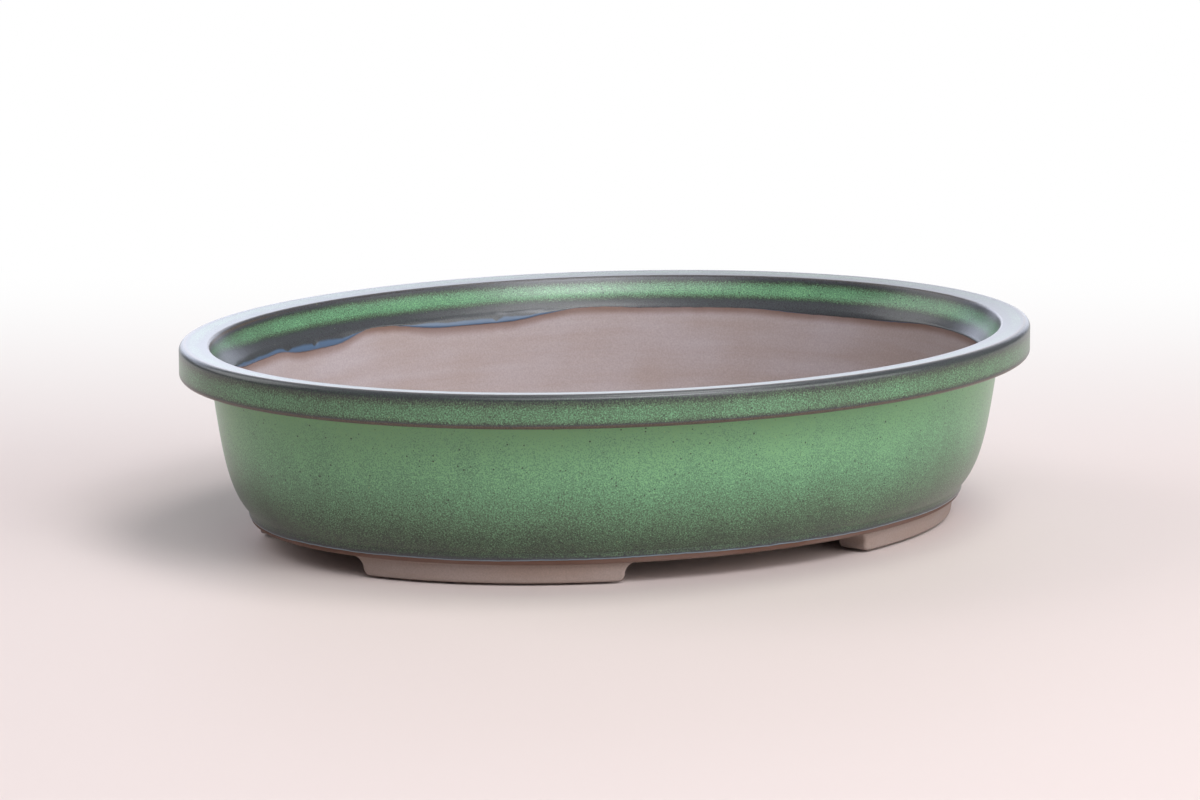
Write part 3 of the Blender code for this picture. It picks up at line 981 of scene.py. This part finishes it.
measures = {
    "coat": np.interp(base_points[:, 2] / MM, *np.array(WALL_COAT).T),
    "above_edge": base_edge,
    "roll": np.full(len(base_points), OUTER_ROLL / MM),
}
base = make_piece("collared_base", base_points, base_faces, measures)
print("base", len(base_faces) * 2, "triangles before its flat faces")

# %% Flat faces of the base
LEVEL_SLACK = 0.01 * MM

mesh = bmesh.new()
mesh.from_mesh(base.data)
for level in (SLAB_UNDERSIDE, FLOOR_LEVEL):
    open_edges = [
        edge for edge in mesh.edges
        if edge.is_boundary and abs(edge.verts[0].co.z - level) < LEVEL_SLACK
    ]
    bmesh.ops.triangle_fill(mesh, edges=open_edges, use_beauty=True)
bmesh.ops.recalc_face_normals(mesh, faces=mesh.faces)
print("base open edges", sum(edge.is_boundary for edge in mesh.edges))
print("base volume", mesh.calc_volume() * 1e6, "cm3")
mesh.to_mesh(base.data)
mesh.free()
base.data.shade_smooth()
weighting = base.modifiers.new("flat_faces_stay_flat", "WEIGHTED_NORMAL")
weighting.weight = 100
base.data.materials.append(base_material)
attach(base, "root")
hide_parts("base_slab")

# %% [markdown]
# ## The feet
# Each foot is a low strip of clay bent to the oval. Its ends are coved, so they flare
# out where they meet the base, its lower edges are softened by a wet sponge, and its
# upright corners are slightly round. A bevelled box bent by a modifier comes close, but
# its coves would stretch with the bend. So one function works out a foot from two
# parameters: the way round its outline, and the height. The four are mirror images.

# %% Foot shape
FOOT_SET_IN = 2.7 * MM
FOOT_BATTER = 0.9 * MM
FOOT_THICKNESS = 10.0 * MM
FOOT_OUTER_END = math.radians(23.0)
FOOT_INNER_END = math.radians(68.3)
FOOT_COVE = 3.6 * MM
FOOT_CORNER = 1.9 * MM
FOOT_EDGE = 0.6 * MM
FOOT_UPRIGHT = 0.9 * MM
LUTING = 0.5 * MM
FOOT_LEVELS = 30
FOOT_LONG_STEPS = 90
FOOT_CORNER_STEPS = 7


def round_off(height, radius):
    """How far a lower edge of this radius is drawn back at a height.

    The radius, less the root of its square less the square of what the height lacks.
    """
    return radius - np.sqrt(radius ** 2 - np.clip(radius - height, 0.0, None) ** 2)


def flare(height, radius):
    """How far a cove of this radius stands out below the base, at a height.

    The radius, less the root of its square less the square of the rise into the cove.
    """
    rise = np.clip(height - (SLAB_UNDERSIDE - radius), 0.0, radius)
    return radius - np.sqrt(radius ** 2 - rise ** 2)


def foot_outline():
    """The way round a foot: end, face and facing of each of its points.

    End runs from -1 to 1 between the foot's two ends, and face from -1 outside to 1
    inside. Each upright corner is a quarter turn of the facing while both stay put.
    """
    quarter = np.linspace(0.0, math.pi / 2, FOOT_CORNER_STEPS + 1)
    along = np.linspace(-1.0, 1.0, FOOT_LONG_STEPS)[1:-1]
    rows = []
    for turn, (end, face) in enumerate(((-1, -1), (1, -1), (1, 1), (-1, 1))):
        angle = math.pi + turn * math.pi / 2 + quarter
        rows.append(np.stack([0 * angle + end, 0 * angle + face, np.cos(angle), np.sin(angle)], axis=1))
        if turn in (0, 2):
            ends = along if turn == 0 else along[::-1]
            rows.append(np.stack([ends, 0 * ends + face, 0 * ends, 0 * ends + face], axis=1))
    return np.vstack(rows).T


# %% Foot points
def foot_points(turn_x, turn_y):
    """Points of one foot, in rows of rising height.

    The outline's end picks an angle between the foot's two ends, and its face adds to
    the inset. At each height the flare and the round edges move the ends and the faces
    in or out, and the upright corners keep their radius.
    """
    end, face, facing_along, facing_in = foot_outline()
    turn = np.linspace(0.0, math.pi, FOOT_LEVELS)[:, None]
    height = SLAB_UNDERSIDE * (1 - np.cos(turn)) / 2
    end_shift = flare(height, FOOT_COVE) - round_off(height, FOOT_CORNER) - FOOT_UPRIGHT
    face_shift = flare(height, LUTING) - round_off(height, FOOT_EDGE) - FOOT_UPRIGHT
    batter = FOOT_BATTER * (1 - height / SLAB_UNDERSIDE) * (1 - face) / 2
    inset = WAIST_INSET + FOOT_SET_IN + FOOT_THICKNESS / 2 + batter
    inset = inset + face * (FOOT_THICKNESS / 2 + face_shift) + FOOT_UPRIGHT * facing_in
    angle = FOOT_OUTER_END + (FOOT_INNER_END - FOOT_OUTER_END) * (end + 1) / 2
    speed = np.hypot((HALF_LENGTH - inset) * np.sin(angle), (HALF_WIDTH - inset) * np.cos(angle))
    angle = angle + (end * end_shift + FOOT_UPRIGHT * facing_along) / speed
    along = (HALF_LENGTH - inset) * np.cos(angle) * turn_x
    across = (HALF_WIDTH - inset) * np.sin(angle) * turn_y
    return np.stack([along, across, np.broadcast_to(height, along.shape)], axis=-1)


def make_foot(name, node, turn_x, turn_y):
    """One foot: the sides as a grid, and a cap above and below."""
    grid = foot_points(turn_x, turn_y)
    rows, columns = grid.shape[:2]
    points = grid.reshape(-1, 3)
    sides = grid_faces(rows, columns)
    outline = np.arange(columns)
    caps = [outline[::-1].tolist(), (outline + (rows - 1) * columns).tolist()]
    turned = turn_x * turn_y < 0
    faces = [face[::-1] if turned else face for face in sides.tolist() + caps]
    level = np.arctan2(points[:, 1] / HALF_WIDTH, points[:, 0] / HALF_LENGTH)
    measures = {
        "above_edge": (points[:, 2] - outer_edge(level)) / MM,
        "roll": np.full(len(points), OUTER_ROLL / MM),
    }
    foot = make_piece(name, points, faces, measures)
    weighting = foot.modifiers.new("flat_faces_stay_flat", "WEIGHTED_NORMAL")
    weighting.keep_sharp = True
    foot.data.materials.append(clay_material)
    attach(foot, "root")
    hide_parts(node)
    return foot


for side, turn_y in (("front", -1.0), ("back", 1.0)):
    for end, turn_x in (("left", -1.0), ("right", 1.0)):
        foot = make_foot(f"{side}_{end}_foot", f"foot_{side}_{end}", turn_x, turn_y)
        print(foot.name, len(foot.data.polygons), "faces")

# %% [markdown]
# ## The stage
# The pot stands on a plain pale table. Feet never touch a table all along, so the
# table lies a hair lower and a thin dark line shows. Behind the pot it fades to white,
# and the world is white wherever the camera sees it. A white backdrop could be a wall
# behind the pot, but a colour of the world needs no size and throws no shadow. Glossy
# glaze mirrors it as a white panel straight behind the pot, with a dimmer room beside it
# and in front. For the light that falls on the pot the world is as dim as that room, and
# soft lamps do the rest.

# %% Floor
FLOOR_COLOUR = "#DBCDC8"
FLOOR_DROP = 0.7 * MM
FADE_START = 0.02
FADE_END = 0.47
FLOOR_SIZE = 3.0
FLOOR_ROUGHNESS = 0.7
FLOOR_SHINE = 0.2
WHITE = hex_colour("#FFFFFF")


def seen_ray(tree, mirrored=1.0):
    """One for a camera ray or a ray through glass, and this much for a mirrored ray."""
    path = add(tree, "ShaderNodeLightPath").outputs
    glossy = add(tree, "ShaderNodeMath", {"operation": "MULTIPLY"},
                 {0: path["Is Glossy Ray"], 1: mirrored})
    first = add(tree, "ShaderNodeMath", {"operation": "MAXIMUM"}, {0: path["Is Camera Ray"], 1: glossy})
    return add(tree, "ShaderNodeMath", {"operation": "MAXIMUM"},
               {0: first, 1: path["Is Transmission Ray"]})


def along_heading(tree, vector, turn=0.0):
    """How far a place or a direction lies along the camera's level heading.

    It is their dot product, after the heading has been turned to its right.
    """
    heading = (math.sin(CAMERA_HEADING + turn), math.cos(CAMERA_HEADING + turn), 0.0)
    product = add(tree, "ShaderNodeVectorMath", {"operation": "DOT_PRODUCT"}, {0: vector, 1: heading})
    return product.outputs["Value"]


def floor_material():
    """Pale matt table that turns to plain white far behind the pot."""
    material, tree, shader = empty_material("pale_table")
    shader.inputs["Base Color"].default_value = hex_colour(FLOOR_COLOUR)
    shader.inputs["Roughness"].default_value = FLOOR_ROUGHNESS
    shader.inputs["Specular IOR Level"].default_value = FLOOR_SHINE
    place = add(tree, "ShaderNodeTexCoord").outputs["Object"]
    fade = add(tree, "ShaderNodeMapRange", {"interpolation_type": "SMOOTHSTEP"},
               {"Value": along_heading(tree, place), "From Min": FADE_START, "From Max": FADE_END})
    share = add(tree, "ShaderNodeMath", {"operation": "MULTIPLY"}, {0: fade, 1: seen_ray(tree)})
    white = add(tree, "ShaderNodeEmission", None, {"Color": WHITE, "Strength": 1.0})
    mix = add(tree, "ShaderNodeMixShader", None, {0: share, 1: shader, 2: white})
    tree.links.new(mix.outputs[0], tree.nodes["Material Output"].inputs["Surface"])
    return material


signs = ((-1, -1), (1, -1), (1, 1), (-1, 1))
corners = [(x * FLOOR_SIZE, y * FLOOR_SIZE, -FLOOR_DROP) for x, y in signs]
floor_mesh = bpy.data.meshes.new("table")
floor_mesh.from_pydata(corners, [], [(0, 1, 2, 3)])
floor_mesh.materials.append(floor_material())
floor = bpy.data.objects.new("table", floor_mesh)
bpy.context.scene.collection.objects.link(floor)
print("table", FLOOR_DROP / MM, "mm below the feet")

# %% World
AMBIENT = 0.25
AMBIENT_TINT = "#F3F6FF"
BACKDROP_AHEAD = (-0.2, 0.5)
BACKDROP_ASIDE = (0.5, 0.2)

world = bpy.data.worlds.new("studio")
bpy.context.scene.world = world
world.use_nodes = True
sky = world.node_tree
background = sky.nodes["Background"]
direction = add(sky, "ShaderNodeTexCoord").outputs["Generated"]
ahead = add(sky, "ShaderNodeMapRange", {"interpolation_type": "SMOOTHSTEP"},
            {"Value": along_heading(sky, direction),
             "From Min": BACKDROP_AHEAD[0], "From Max": BACKDROP_AHEAD[1]})
aside = add(sky, "ShaderNodeMath", {"operation": "ABSOLUTE"},
            {0: along_heading(sky, direction, math.pi / 2)})
narrow = add(sky, "ShaderNodeMapRange", {"interpolation_type": "SMOOTHSTEP"},
             {"Value": aside, "From Min": BACKDROP_ASIDE[0], "From Max": BACKDROP_ASIDE[1]})
backdrop = add(sky, "ShaderNodeMath", {"operation": "MULTIPLY"}, {0: ahead, 1: narrow})
seen = seen_ray(sky, backdrop)
strength = add(sky, "ShaderNodeMapRange", None, {"Value": seen, "To Min": AMBIENT, "To Max": 1.0})
tint = add(sky, "ShaderNodeMix", {"data_type": "RGBA"},
           {"Factor": seen, "A": hex_colour(AMBIENT_TINT), "B": WHITE})
sky.links.new(strength.outputs[0], background.inputs["Strength"])
sky.links.new(tint.outputs[2], background.inputs["Color"])
print("the room is", AMBIENT, "of the backdrop's white")

# %% [markdown]
# ## The lamps
# The light is that of a room with windows in front and overhead. Each window is a flat
# lamp as large as it needs to be for soft shadows and a broad sheen on the glaze. A
# lamp's level is the brightness that it alone would give a white card facing it. A flat
# lamp spreads its power over a half sphere, so a card at a distance gets the power over
# pi squared and over the distance squared. Each lamp has its degrees to the right of the
# camera and above the table, its distance, width and height in metres, its level and
# its tint.

# %% Lamps
AIM = Vector((0.0, 0.0, 25.0 * MM))
LAMPS = (
    ("wide_window", 24.0, 45.0, 2.2, 2.2, 1.0, 0.46, "#F6F7FC"),
    ("bright_pane", 36.0, 45.0, 2.2, 0.9, 0.6, 0.26, "#F6F7FC"),
    ("side_window", 62.0, 17.0, 2.2, 2.2, 1.0, 0.47, "#FFFFFF"),
    ("left_fill", -108.0, 34.0, 2.2, 1.5, 1.5, 0.28, "#FFFFFF"),
    ("top_window", 82.0, 71.0, 2.2, 1.1, 0.9, 0.32, "#FFFFFF"),
    ("backdrop_glow", 180.0, 11.0, 2.4, 2.4, 0.95, 0.19, "#E0E8FF"),
    ("left_backdrop", -155.0, 19.0, 2.4, 2.14, 0.5, 0.09, "#E0E8FF"),
)


def soft_box(name, right_of_camera, elevation, distance, width, height, level, tint):
    """A flat lamp that faces the pot, hidden from the camera, placed by its angles."""
    turn = math.pi + CAMERA_HEADING - math.radians(right_of_camera)
    flat = math.cos(math.radians(elevation))
    away = Vector((math.sin(turn) * flat, math.cos(turn) * flat, math.sin(math.radians(elevation))))
    data = bpy.data.lights.new(name, "AREA")
    data.shape = "RECTANGLE"
    data.size = width
    data.size_y = height
    data.energy = level * (math.pi * distance) ** 2
    data.color = hex_colour(tint)[:3]
    lamp = bpy.data.objects.new(name, data)
    lamp.location = AIM + away * distance
    lamp.rotation_euler = (-away).to_track_quat("-Z", "Y").to_euler()
    lamp.visible_camera = False
    bpy.context.scene.collection.objects.link(lamp)
    return lamp


for row in LAMPS:
    lamp = soft_box(*row)
    print(lamp.name, round(lamp.data.energy, 1), "watts")

# %% View
bpy.context.scene.view_settings.view_transform = "Standard"
